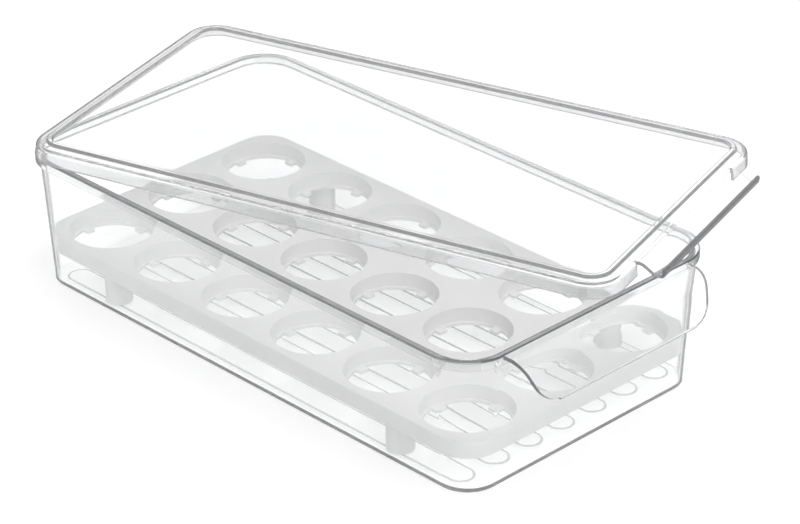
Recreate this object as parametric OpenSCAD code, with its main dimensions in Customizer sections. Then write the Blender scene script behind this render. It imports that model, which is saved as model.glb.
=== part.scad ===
// Egg keeper: a clear bin with a curved front grip, a white egg tray on four posts,
// and a loose clear lid that lies askew on the rim.
// Origin: centre of the base face, on the table. +X is the grip end, +Z is up. Sizes in mm.

/* [Bin] */
// Length over the rim
bin_l = 300; // [270:1:340]
// Width over the rim
bin_w = 159; // [145:1:185]
// Height from the table to the top of the rim
bin_h = 68; // [60:1:90]
// Corner radius of the rim, seen from above
corner_r = 21.5; // [20:0.5:24]
// Thickness of the walls
bin_wall = 1.6; // [1.2:0.1:2.4]
// Thickness of the floor
floor_t = 1.8; // [1.4:0.1:3]
// How far each wall leans in between the rim and the base
draft = 3.8; // [2:0.1:4.5]
// How far the rim stands out from the wall
rim_out = 2; // [1.5:0.1:3]
// Height of the rim's band
rim_band = 4.8; // [3:0.1:6]
// Radius of the bottom edge
foot_r = 1.4; // [1:0.1:3]

/* [Floor pads] */
// Number of raised pads on the floor
pad_count = 7; // [5:1:7]
// Width of each pad
pad_w = 12; // [9:0.5:14]
// Height of each pad above the floor
pad_h = 0.8; // [0.5:0.1:1.2]
// Gap between a pad's round end and the end wall
pad_end = 8.9; // [6:0.1:20]
// Gap between the outer pads and the side walls
pad_side = 4.4; // [3.5:0.1:8]

/* [Grip] */
// How far the grip reaches out from the rim
grip_reach = 20; // [18:0.5:23]
// How far the grip hangs below the top of the rim
grip_drop = 20; // [18:0.5:22]
// Radius of the bend at the top of the grip
grip_bend = 11; // [9:0.5:12]
// How far the grip's face leans out from upright, in degrees
grip_lean = 25; // [20:1:30]
// Thickness of the grip
grip_t = 2; // [1.5:0.1:3]
// How much narrower each side of the grip is at its lower edge
grip_taper = 7.5; // [4:0.5:12]
// Corner radius of the grip's lower edge
grip_corner = 8; // [4:0.5:9]
// Width of the grip where it leaves the rim
grip_w = 118; // [100:1:118]

/* [Egg tray] */
// Columns of eggs along the bin
egg_cols = 6; // [6:1:6]
// Rows of eggs across the bin
egg_rows = 3; // [3:1:3]
// Diameter of each egg hole
hole_d = 41; // [38:0.5:42]
// Plate left between the outer holes and the edge of the tray
hole_edge = 3.8; // [3.2:0.1:6]
// Thickness of the wall around each egg cup
cup_wall = 2.4; // [2.1:0.1:2.6]
// Diameter of the opening at the bottom of each cup
cup_open = 38.4; // [34:0.2:39]
// Thickness of the ring at the bottom of each cup
cup_ring = 1.4; // [1:0.1:2.5]
// Width of the four nubs that hold an egg
nub_w = 4.5; // [3:0.5:7]
// Distance from the centre of a cup to its nubs
nub_reach = 15.8; // [14:0.1:16.5]
// Height from the floor pads to the top of the tray
tray_h = 23.2; // [20:0.2:30]
// Thickness of the tray's plate
plate_t = 2; // [1.5:0.1:3]
// Depth of the tray's skirt, from the top of the plate
skirt_h = 8.5; // [6:0.5:12]
// Thickness of the tray's skirt
skirt_t = 2; // [1.5:0.1:2.6]
// Diameter of each post
post_d = 13; // [10:0.5:14]
// Distance from the tray's edge to the side of a post
post_in = 1.1; // [0.9:0.1:2]
// Gap between the tray and the bin's walls
tray_gap = 0.4; // [0.3:0.1:1]

/* [Lid] */
// Height of the lid from the bottom of its skirt to its shoulder
lid_h = 7.4; // [7:0.1:10]
// Thickness of the lid's panel
lid_t = 1.6; // [1.4:0.1:2.2]
// Thickness of the lid's skirt
lid_wall = 1.4; // [1.2:0.1:2]
// How far the lid's skirt leans in below its round shoulder
lid_draft = 0.3; // [0.1:0.1:0.8]
// Radius of the lid's round shoulder
lid_round = 2.2; // [1:0.1:2.6]
// Corner radius of the lid, seen from above
lid_corner = 16; // [14:0.5:22]
// Gap between the lid's skirt and the rim when the lid is on
lid_gap = 0.3; // [0.3:0.1:1]
// Distance from the lid's shoulder edge to its raised bead
bead_in = 3; // [2.5:0.1:5]
// Width of the bead
bead_w = 2.9; // [2.4:0.1:4]
// Height of the bead above the shoulder
bead_h = 1.4; // [0.8:0.1:2.5]

/* [Lid tab] */
// How far the tab reaches out from the lid's shoulder
tab_reach = 16; // [13:0.5:18]
// Width of the tab where it joins the lid
tab_w = 103; // [80:1:116]
// How far the tab dips below the shoulder
tab_dip = 4; // [3:0.1:4.4]
// How far the tab runs out level before it dips
tab_flat = 3; // [1:0.5:5]
// Width of the tab's turned-up edge
tab_lip_w = 1.8; // [1.4:0.1:2.4]
// How far the turned-up edge stops below the shoulder
tab_lip_low = 0.8; // [0:0.1:1.5]
// Corner radius of the tab
tab_corner = 3; // [1.5:0.1:4]

/* [Lid at rest] */
// How far the lid is turned on the rim
lid_turn = 17; // [12:0.1:20]
// How far the lid's centre lies behind the centre of the bin
lid_back = 16.3; // [10:0.1:20]
// How far the lid's centre lies to the side of the centre of the bin
lid_aside = 36.5; // [30:0.1:42]
// Height that the tray and the lid stand clear of what they rest on
seat_gap = 0.3; // [0.2:0.05:0.4]

/* [Hidden] */
$fn = 64;
arc_steps = 6;
// overlap that joins the pieces of one moulding
weld = 0.5;
// cuts run past the faces that they open
past = 5;
// small round edges: the rim, the inner bottom edge
edge_r = 0.8;
inner_r = 0.6;

// bin: insets from the rim's outline at the base and inside the floor
base_in = rim_out + draft;
floor_in = base_in + bin_wall;
floor_l = bin_l - 2 * floor_in;
floor_w = bin_w - 2 * floor_in;
wall_in = function(z) rim_out + draft * (1 - z / (bin_h - rim_band));

// pads
pad_l = floor_l - 2 * pad_end;
pad_pitch = (floor_w - 2 * pad_side - pad_w) / (pad_count - 1);
pad_top = floor_t + pad_h;

// grip: a bend over the rim, then a straight face that leans out
grip_half = grip_w / 2;
face_drop = grip_drop - grip_bend * (1 - sin(grip_lean));
face_len = face_drop / cos(grip_lean);
bend_x = bin_l / 2 + grip_reach - face_drop * tan(grip_lean) - grip_bend * cos(grip_lean);

// egg tray
tray_foot = pad_top + seat_gap;
tray_top = pad_top + tray_h;
skirt_z = tray_top - skirt_h;
tray_in = wall_in(skirt_z) + bin_wall + tray_gap;
tray_l = bin_l - 2 * tray_in;
tray_w = bin_w - 2 * tray_in;
tray_r = corner_r - tray_in;
pitch_x = (tray_l - 2 * hole_edge - hole_d) / (egg_cols - 1);
pitch_y = (tray_w - 2 * hole_edge - hole_d) / (egg_rows - 1);
post_x = pitch_x * (egg_cols - 2) / 2;
post_y = tray_w / 2 - post_in - post_d / 2;

// lid, in its own place with its skirt's lower edge at height 0
lid_l = bin_l + 2 * (lid_gap + lid_wall);
lid_w = bin_w + 2 * (lid_gap + lid_wall);
shoulder_in = lid_draft + lid_round;
panel_in = shoulder_in + bead_in + bead_w + 3;
tab_x = lid_l / 2 - shoulder_in;
tab_z = lid_h - tab_dip;

function arc(cx, cy, r, from, to, steps = arc_steps) =
    [for (i = [0:steps]) [cx + r * cos(from + (to - from) * i / steps),
                          cy + r * sin(from + (to - from) * i / steps)]];

// a rectangle with round corners, centred
module round_plate(l, w, r) {
    square([l - 2 * r, w], center = true);
    square([l, w - 2 * r], center = true);
    for (sx = [-1, 1], sy = [-1, 1])
        translate([sx * (l / 2 - r), sy * (w / 2 - r)])
            circle(r);
}

// sweeps a profile around a round-cornered rectangle:
// profile x is the distance outside the outline, profile y is the height
module around(l, w, r) {
    for (i = [0, 1]) {
        rotate([0, 0, 180 * i])
            rotate([90, 0, 0])
                linear_extrude(height = w - 2 * r, center = true)
                    translate([l / 2, 0])
                        children();
        rotate([0, 0, 90 + 180 * i])
            rotate([90, 0, 0])
                linear_extrude(height = l - 2 * r, center = true)
                    translate([w / 2, 0])
                        children();
    }
    for (i = [0:3]) {
        sx = (i == 0 || i == 3) ? 1 : -1;
        sy = (i < 2) ? 1 : -1;
        translate([sx * (l / 2 - r), sy * (w / 2 - r), 0])
            rotate([0, 0, 90 * i])
                rotate_extrude(angle = 90)
                    translate([r, 0])
                        children();
    }
}

// wall of the bin in section: floor edge, round foot, leaning wall and rim band
module bin_section() {
    polygon(concat(
        [[-floor_in - foot_r, 0]],
        arc(-base_in - foot_r, foot_r, foot_r, 270, 360),
        [[-rim_out, bin_h - rim_band]],
        arc(-edge_r, bin_h - rim_band + edge_r, edge_r, 270, 360, 4),
        arc(-edge_r, bin_h - edge_r, edge_r, 0, 90, 4),
        arc(-rim_out - bin_wall + edge_r, bin_h - edge_r, edge_r, 90, 180, 4),
        arc(-floor_in - inner_r, floor_t + inner_r, inner_r, 360, 270),
        [[-floor_in - foot_r, floor_t]]
    ));
}

// a long pad with round ends
module pad() {
    translate([0, 0, floor_t - weld])
        linear_extrude(height = pad_h + weld) {
            square([pad_l - pad_w, pad_w], center = true);
            for (s = [-1, 1])
                translate([s * (pad_l - pad_w) / 2, 0])
                    circle(pad_w / 2);
        }
}

// outline of the grip, seen from the front: y across, z up
module grip_outline() {
    low_half = grip_half - grip_taper;
    low_z = bin_h - grip_drop;
    slope = atan(grip_taper / grip_drop);
    c = grip_corner;
    // centre of a corner arc that touches the lower edge and the slanted side
    cy = low_half - c * tan(45 - slope / 2);
    polygon(concat(
        [[-grip_half, bin_h + past], [-grip_half, bin_h]],
        arc(-cy, low_z + c, c, 180 + slope, 270),
        arc(cy, low_z + c, c, 270, 360 - slope),
        [[grip_half, bin_h], [grip_half, bin_h + past]]
    ));
}

// the grip in section: x outward, y up
module grip_section() {
    face = face_len * [sin(grip_lean), -cos(grip_lean)];
    centre_z = bin_h - grip_bend;
    outer = arc(bend_x, centre_z, grip_bend, 90, grip_lean);
    inner = arc(bend_x, centre_z, grip_bend - grip_t, grip_lean, 90);
    polygon(concat(
        [[bin_l / 2 - 2 * edge_r, bin_h]],
        outer,
        [outer[arc_steps] + face, inner[0] + face],
        inner,
        [[bin_l / 2 - 2 * edge_r, bin_h - grip_t]]
    ));
}

module bin() {
    color([0.9, 0.94, 0.96, 0.35]) {
        around(bin_l, bin_w, corner_r)
            bin_section();
        linear_extrude(height = floor_t)
            round_plate(floor_l - 2 * foot_r + 2 * weld, floor_w - 2 * foot_r + 2 * weld,
                        corner_r - floor_in - foot_r + weld);
        for (i = [0:pad_count - 1])
            translate([0, (i - (pad_count - 1) / 2) * pad_pitch, 0])
                pad();
        intersection() {
            rotate([90, 0, 0])
                linear_extrude(height = 2 * grip_half, center = true)
                    grip_section();
            translate([bin_l / 2 - past, 0, 0])
                rotate([90, 0, 90])
                    linear_extrude(height = grip_reach + 2 * past)
                        grip_outline();
        }
    }
}

// everything that is solid around one egg hole, before the hole is cut
module cup_body() {
    translate([0, 0, skirt_z])
        cylinder(d = hole_d + 2 * cup_wall, h = skirt_h - plate_t / 2);
}

// the space of one egg hole: straight above, four nubs left standing at the bottom
module cup_space() {
    translate([0, 0, skirt_z + cup_ring])
        cylinder(d = hole_d, h = skirt_h + past);
    difference() {
        translate([0, 0, skirt_z - past])
            cylinder(d = cup_open, h = cup_ring + 2 * past);
        for (a = [0:90:270])
            rotate([0, 0, a])
                translate([nub_reach, -nub_w / 2, skirt_z - 2 * past])
                    cube([hole_d, nub_w, cup_ring + 2 * past]);
    }
}

module egg_tray() {
    color([0.95, 0.95, 0.94])
        difference() {
            union() {
                translate([0, 0, tray_top - plate_t])
                    linear_extrude(height = plate_t)
                        round_plate(tray_l, tray_w, tray_r);
                translate([0, 0, skirt_z])
                    linear_extrude(height = skirt_h - plate_t / 2)
                        difference() {
                            round_plate(tray_l, tray_w, tray_r);
                            round_plate(tray_l - 2 * skirt_t, tray_w - 2 * skirt_t, tray_r - skirt_t);
                        }
                for (i = [0:egg_cols - 1], j = [0:egg_rows - 1])
                    translate([(i - (egg_cols - 1) / 2) * pitch_x, (j - (egg_rows - 1) / 2) * pitch_y, 0])
                        cup_body();
                for (sx = [-1, 1], sy = [-1, 1])
                    translate([sx * post_x, sy * post_y, tray_foot])
                        cylinder(d = post_d, h = tray_top - tray_foot - plate_t / 2);
            }
            for (i = [0:egg_cols - 1], j = [0:egg_rows - 1])
                translate([(i - (egg_cols - 1) / 2) * pitch_x, (j - (egg_rows - 1) / 2) * pitch_y, 0])
                    cup_space();
        }
}

// edge of the lid in section: leaning skirt, shoulder and raised bead
module lid_section() {
    bead_out = -shoulder_in - bead_in;
    bead_r = bead_h * 0.7;
    under_r = lid_round - lid_wall;
    polygon(concat(
        [[-lid_wall, 0], [0, 0]],
        arc(-shoulder_in, lid_h - lid_round, lid_round, 0, 90),
        [[bead_out, lid_h]],
        arc(bead_out - bead_r, lid_h + bead_h - bead_r, bead_r, 0, 90, 3),
        arc(bead_out - bead_w + bead_r, lid_h + bead_h - bead_r, bead_r, 90, 180, 3),
        [[bead_out - bead_w, lid_h], [-panel_in, lid_h], [-panel_in, lid_h - lid_t]],
        arc(-lid_wall - lid_draft - under_r, lid_h - lid_t - under_r, under_r, 90, 0, 3)
    ));
}

// tab in section: x outward from the shoulder's edge, y height
module tab_section() {
    run = tab_reach - tab_lip_w - tab_flat - 1;
    steps = 10;
    curve = [for (i = [0:steps])
        [tab_flat + run * i / steps, lid_h - tab_dip * (1 - cos(180 * i / steps)) / 2]];
    low = [for (i = [steps:-1:0]) curve[i] - [0, lid_t]];
    polygon(concat(
        [[-2, lid_h]],
        curve,
        [[tab_reach - tab_lip_w, tab_z], [tab_reach - tab_lip_w, lid_h - tab_lip_low],
         [tab_reach, lid_h - tab_lip_low], [tab_reach, tab_z - lid_t]],
        low,
        [[-2, lid_h - lid_t]]
    ));
}

// the tab's sides and outer corners, seen from above
module tab_plan() {
    half = tab_w / 2;
    c = tab_corner;
    polygon(concat(
        [[tab_x - past, -half], [tab_x + tab_reach - c, -half]],
        arc(tab_x + tab_reach - c, -half + c, c, 270, 360),
        arc(tab_x + tab_reach - c, half - c, c, 0, 90),
        [[tab_x - past, half]]
    ));
}

module lid_shape() {
    difference() {
        around(lid_l, lid_w, lid_corner)
            lid_section();
        // the front of the skirt is open under the tab, so that the closed lid clears the grip
        translate([tab_x - lid_wall - 1, -tab_w / 2, -past])
            cube([past + lid_wall, tab_w, past + lid_h - lid_t]);
    }
    translate([0, 0, lid_h - lid_t])
        linear_extrude(height = lid_t)
            round_plate(lid_l - 2 * panel_in + 2 * weld, lid_w - 2 * panel_in + 2 * weld,
                        lid_corner - panel_in + weld);
    intersection() {
        translate([tab_x, 0, 0])
            rotate([90, 0, 0])
                linear_extrude(height = tab_w, center = true)
                    tab_section();
        linear_extrude(height = lid_h + past)
            tab_plan();
    }
}

module lid() {
    color([0.9, 0.94, 0.96, 0.35])
        translate([-lid_back, lid_aside, bin_h + seat_gap])
            rotate([0, 0, lid_turn])
                lid_shape();
}

bin();
egg_tray();
lid();
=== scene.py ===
"""Dresses the egg keeper: clear bin and lid, white egg tray, on a white studio floor."""
import math

import bmesh
import bpy
from mathutils import Matrix, Vector

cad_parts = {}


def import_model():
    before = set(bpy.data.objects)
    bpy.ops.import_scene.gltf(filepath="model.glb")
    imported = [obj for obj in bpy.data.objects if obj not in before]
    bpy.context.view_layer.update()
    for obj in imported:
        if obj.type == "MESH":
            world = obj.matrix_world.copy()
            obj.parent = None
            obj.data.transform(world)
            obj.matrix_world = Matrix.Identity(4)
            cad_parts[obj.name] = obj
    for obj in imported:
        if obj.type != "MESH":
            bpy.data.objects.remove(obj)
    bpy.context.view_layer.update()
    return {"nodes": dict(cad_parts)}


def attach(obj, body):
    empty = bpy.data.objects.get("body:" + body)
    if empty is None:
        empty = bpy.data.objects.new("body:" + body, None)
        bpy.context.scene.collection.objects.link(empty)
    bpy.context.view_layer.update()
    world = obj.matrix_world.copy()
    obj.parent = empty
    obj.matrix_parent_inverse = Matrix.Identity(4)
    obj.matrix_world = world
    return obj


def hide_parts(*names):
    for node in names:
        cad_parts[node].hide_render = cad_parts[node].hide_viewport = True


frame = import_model()

MM = 0.001
TAU = 2 * math.pi

# Steps of the meshes' round parts
CORNER_STEPS = 24
EDGE_STEPS = 5
ROUND_STEPS = 6
FOOT_STEPS = 8
TIP_STEPS = 4
SHOULDER_STEPS = 10
UNDER_STEPS = 5
PAD_STEPS = 8
BEND_STEPS = 18
LEG_STEPS = 24
DIP_STEPS = 20
TURN_STEPS = 8
LIP_STEPS = 6
BULB_POINTS = 7
SHARP = math.radians(40)

# In millimetres: vertices this near are joined, and a pad's corners are this much under half
# its width
WELD = 1e-4
HAIR = 0.01

# Camera, solved from the photograph's outlines
CAMERA_AT = Vector((0.9942, -0.9299, 0.7669))
CAMERA_TURN = math.radians(46.11)
CAMERA_PITCH = math.radians(28.33)
CAMERA_ROLL = math.radians(0.70)
FOCAL_PX = 3343
IMAGE_W = 800
SENSOR_W = 36.0

# Studio, in metres. The floor glows near the object, less so to the camera. Far off the floor
# and the low sky are dark to all rays but the camera's own, which gives clear edges their grey.
FLOOR_HALF = 6.0
FLOOR_Z = -0.0002
FLOOR_WHITE = (0.8, 0.8, 0.8, 1)
FLOOR_GLOW = 0.56
SEEN_GLOW = 0.37
FAR_FLOOR = (0.15, 0.15, 0.15, 1)
FAR_FROM = 0.35
FAR_TO = 0.9
SKY_LOW = 0.12
SKY_HIGH = 1.06
SKY_LOW_AT = 0.05
SKY_HIGH_AT = 0.6
KEY_AT = (1.3, -0.5, 1.4)
KEY_SIZE = 1.6
KEY_POWER = 9

# Clear plastic, and its haze as a share of each surface
PLASTIC_IOR = 1.49
BIN_TINT = (0.98, 0.985, 0.985, 1)
LID_TINT = (0.98, 0.98, 0.985, 1)
HAZE_TINT = (0.95, 0.955, 0.96, 1)
SHADOW_TINT = (0.97, 0.97, 0.97, 1)
BIN_HAZE = 0.055
LID_HAZE = 0.08
HAZE_THROUGH = 0.5
HAZE_VARY = 0.2
HAZE_SCALE = 25
CLEAR_ROUGH = (0.0, 0.03)
CLEAR_SCALE = 60

# White plastic
WHITE_TINT = (0.86, 0.86, 0.855, 1)
WHITE_ROUGH = (0.3, 0.42)
WHITE_SCALE = 90
NOISE_LOW = 0.3
NOISE_HIGH = 0.7

# Painted shade on clear plastic: its colour darkens where a marked face turns from the eye, by
# its layer weight, and where its edge is thick. An upright face that is seen along itself gets
# less of it.
EDGE_SHADE_PAINT = (0.15, 0.153, 0.165, 1)
EDGE_SOLID = 0.55
EDGE_FROM = 0.54
EDGE_TO = 0.72
TURNED_MOST = 0.9
ALONG_FROM = 0.8
ALONG_TO = 0.88
ALONG_LESS = 0.8

# Which faces are marked for painted shade, by lengths in millimetres: narrow ones that aren't
# level, and long upright ones
NARROW = 5.5
LEVEL = 0.999
UPRIGHT = 0.3
WALL_LEAST = 30

# How dark the painted shade on a thick edge is from any side
LIP_DARK = 0.75
GRIP_DARK = 0.8
SIDE_DARK = 0.3
RIM_DARK = 0.6
RIM_END_DARK = 0.9
BAND_DARK = 0.2
BAND_END_DARK = 0.05
TIP_DARK = 0.45
SKIRT_DARK = 0.2
BEAD_DARK = 0.2
PAD_DARK = 0.55

# Bin, in millimetres
BIN_L, BIN_W, BIN_H = 300, 159, 68
CORNER_R = 21.5
BIN_WALL = 1.6
FLOOR_T = 1.8
DRAFT = 3.8
RIM_OUT = 2
RIM_BAND = 4.8
RIM_LOW = BIN_H - RIM_BAND
FOOT_R = 1.4
EDGE_R = 0.8
INNER_R = 0.6
BASE_IN = RIM_OUT + DRAFT
FLOOR_IN = BASE_IN + BIN_WALL
FLOOR_L = BIN_L - 2 * FLOOR_IN
FLOOR_W = BIN_W - 2 * FLOOR_IN

# Raised pads on the floor
PAD_COUNT = 7
PAD_W = 12
PAD_H = 0.18
PAD_END = 8.9
PAD_SIDE = 4.4
PAD_SLOPE = 1.2

# Grip
GRIP_REACH = 20
GRIP_DROP = 20
GRIP_BEND = 11
GRIP_LEAN = math.radians(25)
GRIP_T = 2
GRIP_TAPER = 7.5
GRIP_CORNER = 8
GRIP_HALF = 59
GRIP_ROOT = 1.8
GRIP_LOW = 0.25
GRIP_LEVEL = 1
GRIP_FROM = BIN_L / 2 + 0.5

# Lid, with its skirt's lower edge at height 0
LID_MORE = 3.4
LID_L = BIN_L + LID_MORE
LID_W = BIN_W + LID_MORE
LID_H = 7.4
LID_T = 1.6
LID_WALL = 1.4
LID_DRAFT = 0.3
LID_ROUND = 2.2
LID_CORNER = 16
UNDER_R = LID_ROUND - LID_WALL
TIP_R = 0.5
SHOULDER_IN = LID_DRAFT + LID_ROUND
BEAD_IN = 3
BEAD_OUT = -SHOULDER_IN - BEAD_IN
BEAD_W = 2.9
BEAD_H = 1.4
BEAD_R = BEAD_H * 0.7
BEAD_FOOT = 0.5
BEAD_FOOT_RISE = 0.12
BEAD_FROM = LID_H + 0.05
PANEL_OUT = BEAD_OUT - BEAD_W - BEAD_IN
LID_GAP = 0.3
LID_TURN = math.radians(17)
LID_AT = Vector((-16.3, 36.5, BIN_H + LID_GAP))

# Pull tab. Its root, its level part's end and the gap cut under it keep off the lid's own rings
# of vertices, or the joins leave slivers.
TAB_X = LID_L / 2 - SHOULDER_IN
TAB_REACH = 16
TAB_HALF = 51.5
TAB_DIP = 4
TAB_FLAT = 3
TAB_FOOT = 1
TAB_TURN_R = 1.9
TAB_LIP_LOW = 0.8
TAB_BULB = 0.4
TAB_ROOT = 2.2
TAB_LEVEL = 0.4
TAB_SINK = 0.12
TAB_LIP_FROM = TAB_X + TAB_REACH - LID_T - TAB_BULB - 0.3
GAP_INSIDE = 0.3


def arc(cx, cz, r, start, end, steps):
    """Points of an arc from start to end, in degrees."""
    out = []
    for i in range(steps + 1):
        a = math.radians(start + (end - start) * i / steps)
        out.append((cx + r * math.cos(a), cz + r * math.sin(a)))
    return out


def stations(length, width, r):
    """Points around a round-cornered rectangle, each with its outward direction."""
    out = []
    for sx, sy, start in ((1, 1, 0), (-1, 1, 90), (-1, -1, 180), (1, -1, 270)):
        for i in range(CORNER_STEPS + 1):
            a = math.radians(start + 90 * i / CORNER_STEPS)
            nx, ny = math.cos(a), math.sin(a)
            out.append((sx * (length / 2 - r) + r * nx, sy * (width / 2 - r) + r * ny, nx, ny))
    return out


def ring(bm, around, offset, z):
    """A closed ring of vertices, offset outward from an outline."""
    return [bm.verts.new((x + nx * offset, y + ny * offset, z)) for x, y, nx, ny in around]


def sweep(bm, around, profile):
    """Sweeps a profile of (outward, height) points around an outline; gives its end rings."""
    rings = [ring(bm, around, offset, z) for offset, z in profile]
    for low, high in zip(rings, rings[1:]):
        for i in range(len(low)):
            j = (i + 1) % len(low)
            bm.faces.new((low[i], low[j], high[j], high[i]))
    return rings[0], rings[-1]


def ring_edges(bm, verts):
    """The edges of a closed ring of vertices."""
    out = []
    for i, vert in enumerate(verts):
        other = verts[(i + 1) % len(verts)]
        out.append(bm.edges.get((vert, other)) or bm.edges.new((vert, other)))
    return out


def bent_strip(bm, middle, thick, half_at, bulb=0):
    """A bent sheet with round edges: middle is its section's middle line of (x, z) points.
    Its free edge can swell into a bulb, thicker by that much over the last few points."""
    points = []
    for i, (x, z) in enumerate(middle):
        ax, az = middle[max(i - 1, 0)]
        bx, bz = middle[min(i + 1, len(middle) - 1)]
        size = math.hypot(bx - ax, bz - az)
        near_end = max(0, 1 - (len(middle) - 1 - i) / BULB_POINTS)
        r = thick / 2 + bulb / 2 * near_end * near_end * (3 - 2 * near_end)
        points.append((x, z, -(bz - az) / size * r, (bx - ax) / size * r))
    ex, ez, enx, enz = points[-1]
    section = list(points)
    for i in range(1, EDGE_STEPS * 2):
        a = math.pi * i / (EDGE_STEPS * 2)
        c, s = math.cos(a), math.sin(a)
        section.append((ex, ez, enx * c + enz * s, enz * c - enx * s))
    section += [(x, z, -ox, -oz) for x, z, ox, oz in reversed(points)]
    spans = []
    for side, order in ((-1, range(EDGE_STEPS + 1)), (1, range(EDGE_STEPS, -1, -1))):
        for i in order:
            a = math.pi / 2 * i / EDGE_STEPS
            spans.append((side, thick / 2 * (1 - math.cos(a)), math.sin(a)))
    rows = []
    for side, inset, scale in spans:
        rows.append([bm.verts.new((x + ox * scale, side * (half_at(z) - inset), z + oz * scale))
                     for x, z, ox, oz in section])
    count = len(section)
    for low, high in zip(rows, rows[1:]):
        for i in range(count):
            j = (i + 1) % count
            bm.faces.new((low[i], low[j], high[j], high[i]))
    bm.faces.new(rows[0])
    bm.faces.new(list(reversed(rows[-1])))
    bmesh.ops.remove_doubles(bm, verts=bm.verts, dist=WELD)


def piece(name, bm, place=None):
    """A new object from a bmesh drawn in millimetres."""
    bmesh.ops.recalc_face_normals(bm, faces=bm.faces)
    if place is not None:
        bmesh.ops.transform(bm, matrix=place, verts=bm.verts)
    bmesh.ops.scale(bm, vec=(MM, MM, MM), verts=bm.verts)
    mesh = bpy.data.meshes.new(name)
    bm.to_mesh(mesh)
    bm.free()
    obj = bpy.data.objects.new(name, mesh)
    bpy.context.collection.objects.link(obj)
    return obj


def box(name, low, high, place):
    """A box between two corners, in millimetres."""
    bm = bmesh.new()
    bmesh.ops.create_cube(bm, size=1)
    for vert in bm.verts:
        vert.co = [lo + (hi - lo) * (c + 0.5) for lo, hi, c in zip(low, high, vert.co)]
    return piece(name, bm, place)


def boolean(obj, tool, operation):
    """Joins or cuts obj by tool, and removes tool."""
    mod = obj.modifiers.new("cut", "BOOLEAN")
    mod.operation = operation
    mod.solver = "EXACT"
    mod.object = tool
    graph = bpy.context.evaluated_depsgraph_get()
    mesh = bpy.data.meshes.new_from_object(obj.evaluated_get(graph))
    obj.modifiers.clear()
    obj.data = mesh
    bpy.data.objects.remove(tool)


def smooth(obj, mat, painted_shade_at, place=None):
    """Smooth shading with flat faces kept flat, one material, and the marks of painted edge
    shade:
    turned is 1 on narrow and upright faces, wall is 1 on upright ones, which get less painted
    shade to an eye that looks along them, and thick is how dark the painted shade on a face is
    from any side."""
    mesh = obj.data
    back = place.inverted() if place else Matrix()
    marks = {"turned": [], "wall": [], "thick": []}
    for poly in mesh.polygons:
        ends = [mesh.vertices[i].co for i in poly.vertices]
        longest = max((a - b).length for a, b in zip(ends, ends[1:] + ends[:1]))
        tilt = abs(poly.normal.z)
        narrow = poly.area < NARROW * MM * longest and tilt < LEVEL
        upright = tilt < UPRIGHT and longest > WALL_LEAST * MM
        marks["turned"].append(narrow or upright)
        marks["wall"].append(upright)
        marks["thick"].append(painted_shade_at(*(back @ (poly.center / MM))) if narrow else 0)
    for name, values in marks.items():
        layer = mesh.attributes.new(name, "FLOAT", "FACE")
        layer.data.foreach_set("value", [float(value) for value in values])
    for poly in mesh.polygons:
        poly.use_smooth = True
    mesh.set_sharp_from_angle(angle=SHARP)
    obj.modifiers.new("normals", "WEIGHTED_NORMAL").keep_sharp = True
    mesh.materials.clear()
    mesh.materials.append(mat)


def grip():
    """The curved grip, from inside the rim to its round lower edge."""
    face_drop = GRIP_DROP - GRIP_BEND * (1 - math.sin(GRIP_LEAN))
    bend_x = (BIN_L / 2 + GRIP_REACH - face_drop * math.tan(GRIP_LEAN)
              - GRIP_BEND * math.cos(GRIP_LEAN))
    top = BIN_H - GRIP_LOW
    level = top - GRIP_T / 2
    middle = [(BIN_L / 2 - GRIP_ROOT, level), (bend_x - GRIP_LEVEL, level)]
    middle += arc(bend_x, top - GRIP_BEND, GRIP_BEND - GRIP_T / 2, 90, math.degrees(GRIP_LEAN),
                  BEND_STEPS)
    x, z = middle[-1]
    run = (z - (BIN_H - GRIP_DROP) - GRIP_T / 2) / math.cos(GRIP_LEAN)
    for i in range(1, LEG_STEPS + 1):
        far = run * math.sin(math.pi / 2 * i / LEG_STEPS)
        middle.append((x + far * math.sin(GRIP_LEAN), z - far * math.cos(GRIP_LEAN)))
    end_z = middle[-1][1]

    def half_at(height):
        """Half the grip's width at a height, with round lower corners."""
        half = GRIP_HALF - GRIP_TAPER * (BIN_H - height) / GRIP_DROP
        below = end_z + GRIP_CORNER - height
        if below > 0:
            half -= GRIP_CORNER - math.sqrt(max(GRIP_CORNER ** 2 - below ** 2, 0))
        return half

    bm = bmesh.new()
    bent_strip(bm, middle, GRIP_T, half_at)
    return piece("grip_tool", bm)


def bin_painted_shade(x, y, z):
    """How dark the painted shade on the bin's narrow face at a place is from any side."""
    if x > GRIP_FROM:
        half = GRIP_HALF - GRIP_TAPER * (BIN_H - z) / GRIP_DROP
        return GRIP_DARK if abs(y) > half - GRIP_T / 2 else 0
    at_end = abs(y) < BIN_W / 2 - CORNER_R / 2
    if z > BIN_H - EDGE_R:
        return RIM_END_DARK if at_end else RIM_DARK
    if z > RIM_LOW:
        return BAND_END_DARK if at_end else BAND_DARK
    if FLOOR_T < z < FLOOR_T + PAD_H and abs(x) < FLOOR_L / 2 - PAD_END / 2:
        return PAD_DARK
    return 0


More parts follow.
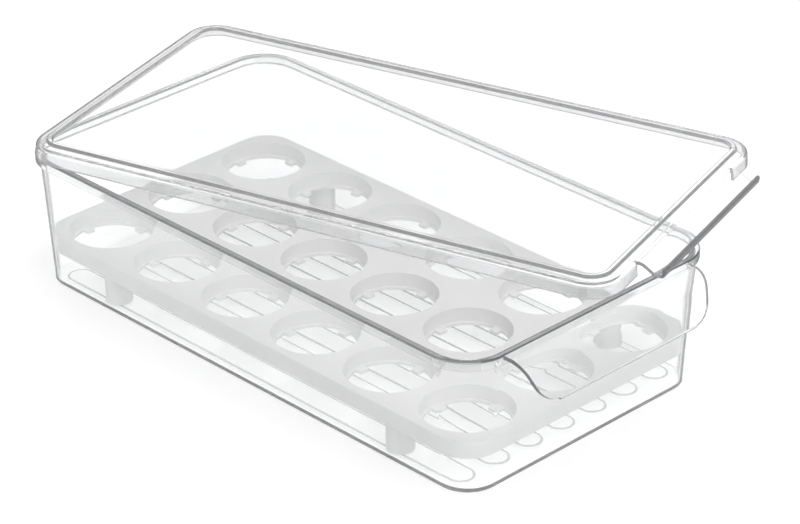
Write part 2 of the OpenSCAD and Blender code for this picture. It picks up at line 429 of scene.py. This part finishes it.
def bin_piece(mat):
    """The clear bin: walls, rim band, floor with pads, and the grip."""
    around = stations(BIN_L, BIN_W, CORNER_R)
    profile = [(-FLOOR_IN - FOOT_R, 0)]
    profile += arc(-BASE_IN - FOOT_R, FOOT_R, FOOT_R, 270, 360, FOOT_STEPS)
    profile += [(-RIM_OUT, RIM_LOW)]
    profile += arc(-EDGE_R, RIM_LOW + EDGE_R, EDGE_R, 270, 360, ROUND_STEPS)
    profile += arc(-EDGE_R, BIN_H - EDGE_R, EDGE_R, 0, 90, ROUND_STEPS)
    profile += arc(-RIM_OUT - BIN_WALL + EDGE_R, BIN_H - EDGE_R, EDGE_R, 90, 180, ROUND_STEPS)
    profile += arc(-FLOOR_IN - INNER_R, FLOOR_T + INNER_R, INNER_R, 360, 270, ROUND_STEPS)
    profile += [(-FLOOR_IN - FOOT_R, FLOOR_T)]
    bm = bmesh.new()
    under, over = sweep(bm, around, profile)
    bm.faces.new(under)
    edges = ring_edges(bm, over)
    pitch = (FLOOR_W - 2 * PAD_SIDE - PAD_W) / (PAD_COUNT - 1)
    slope = []
    for i in range(PAD_STEPS + 1):
        turn = math.pi * i / PAD_STEPS
        rise = PAD_H * (i / PAD_STEPS - math.sin(2 * turn) / TAU)
        slope.append((PAD_SLOPE / 2 * math.cos(turn), FLOOR_T + rise))
    pad = stations(FLOOR_L - 2 * PAD_END, PAD_W, PAD_W / 2 - HAIR)
    for i in range(PAD_COUNT):
        shift = (i - (PAD_COUNT - 1) / 2) * pitch
        foot, top = sweep(bm, [(x, y + shift, nx, ny) for x, y, nx, ny in pad], slope)
        bm.faces.new(top)
        edges += ring_edges(bm, foot)
    bmesh.ops.triangle_fill(bm, use_beauty=True, edges=edges)
    obj = piece("bin_clear", bm)
    boolean(obj, grip(), "UNION")
    smooth(obj, mat, bin_painted_shade)
    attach(obj, "bin")
    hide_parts("bin")


def tab(place):
    """The pull tab: level, then a soft dip, then a turned-up edge."""
    top = LID_H - LID_T / 2 - TAB_SINK
    end = TAB_REACH - (LID_T + TAB_BULB) / 2
    run = end - TAB_TURN_R - TAB_FLAT - TAB_FOOT
    middle = [(TAB_X - TAB_ROOT, top), (TAB_X + TAB_LEVEL, top)]
    for i in range(DIP_STEPS + 1):
        middle.append((TAB_X + TAB_FLAT + run * i / DIP_STEPS,
                       top - TAB_DIP * (1 - math.cos(math.pi * i / DIP_STEPS)) / 2))
    z = middle[-1][1] + TAB_TURN_R
    middle += arc(TAB_X + end - TAB_TURN_R, z, TAB_TURN_R, 270, 360, TURN_STEPS)
    tip = LID_H - TAB_LIP_LOW - (LID_T + TAB_BULB) / 2
    for i in range(1, LIP_STEPS + 1):
        middle.append((TAB_X + end, z + (tip - z) * i / LIP_STEPS))
    bm = bmesh.new()
    bent_strip(bm, middle, LID_T, lambda height: TAB_HALF, TAB_BULB)
    return piece("tab_tool", bm, place)


def lid_painted_shade(x, y, z):
    """How dark the painted shade on the lid's narrow face at a place is from any side."""
    if x > TAB_LIP_FROM:
        return LIP_DARK
    if x > TAB_X and abs(y) < TAB_HALF:
        return SIDE_DARK if abs(y) > TAB_HALF - LID_T / 2 else 0
    if z < TIP_R:
        return TIP_DARK
    if z < LID_H - LID_ROUND:
        return SKIRT_DARK
    return BEAD_DARK if z > BEAD_FROM else 0


def lid_piece(mat):
    """The clear lid: panel, bead, round shoulder, skirt and pull tab."""
    place = Matrix.Translation(LID_AT) @ Matrix.Rotation(LID_TURN, 4, "Z")
    bead_in = BEAD_OUT - BEAD_W
    bead_z = LID_H + BEAD_H - BEAD_R
    foot_z = LID_H + BEAD_FOOT_RISE
    profile = [(PANEL_OUT, LID_H), (bead_in - BEAD_FOOT, LID_H)]
    profile += [(bead_in - BEAD_FOOT_RISE, foot_z)]
    profile += arc(bead_in + BEAD_R, bead_z, BEAD_R, 180, 90, ROUND_STEPS)
    profile += arc(BEAD_OUT - BEAD_R, bead_z, BEAD_R, 90, 0, ROUND_STEPS)
    profile += [(BEAD_OUT + BEAD_FOOT_RISE, foot_z), (BEAD_OUT + BEAD_FOOT, LID_H)]
    profile += arc(-SHOULDER_IN, LID_H - LID_ROUND, LID_ROUND, 90, 0, SHOULDER_STEPS)
    profile += arc(-TIP_R, TIP_R, TIP_R, 360, 270, TIP_STEPS)
    profile += arc(-LID_WALL + TIP_R, TIP_R, TIP_R, 270, 180, TIP_STEPS)
    profile += arc(-LID_WALL - LID_DRAFT - UNDER_R, LID_H - LID_T - UNDER_R, UNDER_R, 0, 90,
                   UNDER_STEPS)
    profile += [(PANEL_OUT, LID_H - LID_T)]
    bm = bmesh.new()
    over, under = sweep(bm, stations(LID_L, LID_W, LID_CORNER), profile)
    bm.faces.new(over)
    bm.faces.new(under)
    obj = piece("lid_clear", bm, place)
    gap_half = TAB_HALF - GAP_INSIDE
    low = (TAB_X - LID_WALL - GAP_INSIDE, -gap_half, -LID_H)
    high = (LID_L, gap_half, LID_H - LID_T - GAP_INSIDE)
    boolean(obj, box("gap_tool", low, high, place), "DIFFERENCE")
    boolean(obj, tab(place), "UNION")
    smooth(obj, mat, lid_painted_shade, place)
    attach(obj, "lid")
    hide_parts("lid")


def camera():
    """The camera at the photograph's place and angle."""
    data = bpy.data.cameras.new("camera")
    data.sensor_width = SENSOR_W
    data.lens = FOCAL_PX * SENSOR_W / IMAGE_W
    obj = bpy.data.objects.new("camera", data)
    bpy.context.collection.objects.link(obj)
    turn = Matrix.Rotation(CAMERA_TURN, 4, "Z")
    tilt = Matrix.Rotation(math.pi / 2 - CAMERA_PITCH, 4, "X")
    roll = Matrix.Rotation(-CAMERA_ROLL, 4, "Z")
    obj.matrix_world = Matrix.Translation(CAMERA_AT) @ turn @ tilt @ roll
    bpy.context.scene.camera = obj


def material(name):
    """A new material and its node tree with only an output node."""
    mat = bpy.data.materials.new(name)
    mat.use_nodes = True
    tree = mat.node_tree
    tree.nodes.clear()
    out = tree.nodes.new("ShaderNodeOutputMaterial")
    return mat, tree, out.inputs["Surface"]


def give(tree, socket, value):
    """Sets a socket to a number or colour, or links an output to it."""
    if isinstance(value, bpy.types.NodeSocket):
        tree.links.new(value, socket)
    else:
        socket.default_value = value


def shader(tree, kind, **inputs):
    """A shader node's output; inputs are by name, with _ for a space."""
    node = tree.nodes.new(kind)
    for name, value in inputs.items():
        give(tree, node.inputs[name.replace("_", " ")], value)
    return node.outputs[0]


def mix(tree, share, first, second):
    """A mix of two shaders, with a share of the second."""
    node = tree.nodes.new("ShaderNodeMixShader")
    for socket, value in zip(node.inputs, (share, first, second)):
        give(tree, socket, value)
    return node.outputs[0]


def calc(tree, operation, *values):
    """The result of a math node on numbers or outputs."""
    node = tree.nodes.new("ShaderNodeMath")
    node.operation = operation
    for socket, value in zip(node.inputs, values):
        give(tree, socket, value)
    return node.outputs[0]


def spread(tree, value, from_low, from_high, to_low=0.0, to_high=1.0):
    """A value's range mapped to another, and kept inside it."""
    node = tree.nodes.new("ShaderNodeMapRange")
    for name, number in (("From Min", from_low), ("From Max", from_high), ("To Min", to_low),
                         ("To Max", to_high)):
        node.inputs[name].default_value = number
    tree.links.new(value, node.inputs["Value"])
    return node.outputs["Result"]


def ramp(tree, value, first, second):
    """A colour between two, by a value from 0 to 1."""
    node = tree.nodes.new("ShaderNodeValToRGB")
    node.color_ramp.elements[0].color = first
    node.color_ramp.elements[1].color = second
    tree.links.new(value, node.inputs["Fac"])
    return node.outputs["Color"]


def mark(tree, name):
    """A face mark of the mesh."""
    node = tree.nodes.new("ShaderNodeAttribute")
    node.attribute_name = name
    return node.outputs["Fac"]


def noise(tree, scale, low, high):
    """Noise in object space, spread over a range of values."""
    where = tree.nodes.new("ShaderNodeTexCoord")
    node = tree.nodes.new("ShaderNodeTexNoise")
    node.inputs["Scale"].default_value = scale
    tree.links.new(where.outputs["Object"], node.inputs["Vector"])
    return spread(tree, node.outputs["Fac"], NOISE_LOW, NOISE_HIGH, low, high)


def clear_plastic(name, haze, tint):
    """Clear moulded plastic with a faint haze and painted shade on its edges, which lets lamps
    through.
    """
    mat, tree, surface = material(name)
    facing = tree.nodes.new("ShaderNodeLayerWeight").outputs["Facing"]
    path = tree.nodes.new("ShaderNodeLightPath")
    # Painted shade: the base colour and the haze turn towards a dark grey on marked faces, more
    # so where they turn from the eye or are marked thick, and those faces get more haze.
    rise = spread(tree, facing, EDGE_FROM, EDGE_TO, 0.0, TURNED_MOST)
    along = spread(tree, facing, ALONG_FROM, ALONG_TO, 0.0, -ALONG_LESS)
    kept = calc(tree, "MULTIPLY_ADD", along, mark(tree, "wall"), 1)
    turned = calc(tree, "MULTIPLY", rise, calc(tree, "MULTIPLY", mark(tree, "turned"), kept))
    dark = calc(tree, "MAXIMUM", turned, mark(tree, "thick"))
    glass = shader(tree, "ShaderNodeBsdfPrincipled", Base_Color=ramp(tree, dark, tint, EDGE_SHADE_PAINT),
                   Transmission_Weight=1, IOR=PLASTIC_IOR,
                   Roughness=noise(tree, CLEAR_SCALE, *CLEAR_ROUGH))
    cloud = ramp(tree, dark, HAZE_TINT, EDGE_SHADE_PAINT)
    veil = mix(tree, HAZE_THROUGH, shader(tree, "ShaderNodeBsdfDiffuse", Color=cloud),
               shader(tree, "ShaderNodeBsdfTranslucent", Color=cloud))
    patchy = noise(tree, HAZE_SCALE, haze * (1 - HAZE_VARY), haze * (1 + HAZE_VARY))
    body = mix(tree, calc(tree, "MULTIPLY_ADD", dark, EDGE_SOLID, patchy), glass, veil)
    through = shader(tree, "ShaderNodeBsdfTransparent", Color=SHADOW_TINT)
    tree.links.new(mix(tree, path.outputs["Is Shadow Ray"], body, through), surface)
    return mat


def white_plastic(name):
    """White moulded plastic with a fine satin grain."""
    mat, tree, surface = material(name)
    plastic = shader(tree, "ShaderNodeBsdfPrincipled", Base_Color=WHITE_TINT,
                     Roughness=noise(tree, WHITE_SCALE, *WHITE_ROUGH))
    tree.links.new(plastic, surface)
    return mat


def floor():
    """A wide pale floor that shows white, with the object's shadow on it."""
    mesh = bpy.data.meshes.new("floor")
    corners = [(x * FLOOR_HALF, y * FLOOR_HALF, FLOOR_Z)
               for x, y in ((-1, -1), (1, -1), (1, 1), (-1, 1))]
    mesh.from_pydata(corners, [], [(0, 1, 2, 3)])
    obj = bpy.data.objects.new("floor", mesh)
    bpy.context.collection.objects.link(obj)
    mat, tree, surface = material("floor_white")
    path = tree.nodes.new("ShaderNodeLightPath")
    where = tree.nodes.new("ShaderNodeTexCoord")
    size = tree.nodes.new("ShaderNodeVectorMath")
    size.operation = "LENGTH"
    tree.links.new(where.outputs["Object"], size.inputs[0])
    lit = calc(tree, "MULTIPLY_ADD", path.outputs["Is Diffuse Ray"], -FLOOR_GLOW, FLOOR_GLOW)
    lit = calc(tree, "MULTIPLY_ADD", path.outputs["Is Camera Ray"], SEEN_GLOW - FLOOR_GLOW, lit)
    both = tree.nodes.new("ShaderNodeAddShader")
    tree.links.new(shader(tree, "ShaderNodeBsdfDiffuse", Color=FLOOR_WHITE), both.inputs[0])
    tree.links.new(shader(tree, "ShaderNodeEmission", Strength=lit), both.inputs[1])
    away = spread(tree, size.outputs["Value"], FAR_FROM, FAR_TO)
    unseen = tree.nodes.new("ShaderNodeMath")
    unseen.operation = "SUBTRACT"
    unseen.use_clamp = True
    tree.links.new(away, unseen.inputs[0])
    tree.links.new(path.outputs["Is Camera Ray"], unseen.inputs[1])
    far = shader(tree, "ShaderNodeBsdfDiffuse", Color=FAR_FLOOR)
    tree.links.new(mix(tree, unseen.outputs[0], both.outputs[0], far), surface)
    mesh.materials.append(mat)


def world():
    """A pale studio all round, darker low down, and white to the camera."""
    data = bpy.data.worlds.new("studio")
    bpy.context.scene.world = data
    data.use_nodes = True
    tree = data.node_tree
    tree.nodes.clear()
    out = tree.nodes.new("ShaderNodeOutputWorld")
    where = tree.nodes.new("ShaderNodeTexCoord")
    split = tree.nodes.new("ShaderNodeSeparateXYZ")
    path = tree.nodes.new("ShaderNodeLightPath")
    tree.links.new(where.outputs["Generated"], split.inputs[0])
    height = spread(tree, split.outputs["Z"], SKY_LOW_AT, SKY_HIGH_AT, SKY_LOW, SKY_HIGH)
    sky = shader(tree, "ShaderNodeBackground", Strength=height)
    white = shader(tree, "ShaderNodeBackground", Strength=1)
    tree.links.new(mix(tree, path.outputs["Is Camera Ray"], sky, white), out.inputs["Surface"])


def lamp(name, place, size, power):
    """A round soft lamp aimed at the origin."""
    data = bpy.data.lights.new(name, "AREA")
    data.shape = "DISK"
    data.size = size
    data.energy = power
    obj = bpy.data.objects.new(name, data)
    bpy.context.collection.objects.link(obj)
    obj.location = place
    obj.rotation_euler = (-Vector(place)).to_track_quat("-Z", "Y").to_euler()


def paint(node, mat):
    """Gives a CAD node a material."""
    for slot in frame["nodes"][node].material_slots:
        slot.link = "OBJECT"
        slot.material = mat


camera()
floor()
world()
lamp("key", KEY_AT, KEY_SIZE, KEY_POWER)
bin_piece(clear_plastic("clear_bin", BIN_HAZE, BIN_TINT))
lid_piece(clear_plastic("clear_lid", LID_HAZE, LID_TINT))
paint("egg_tray", white_plastic("white_tray"))

bpy.context.scene.view_settings.view_transform = "Standard"
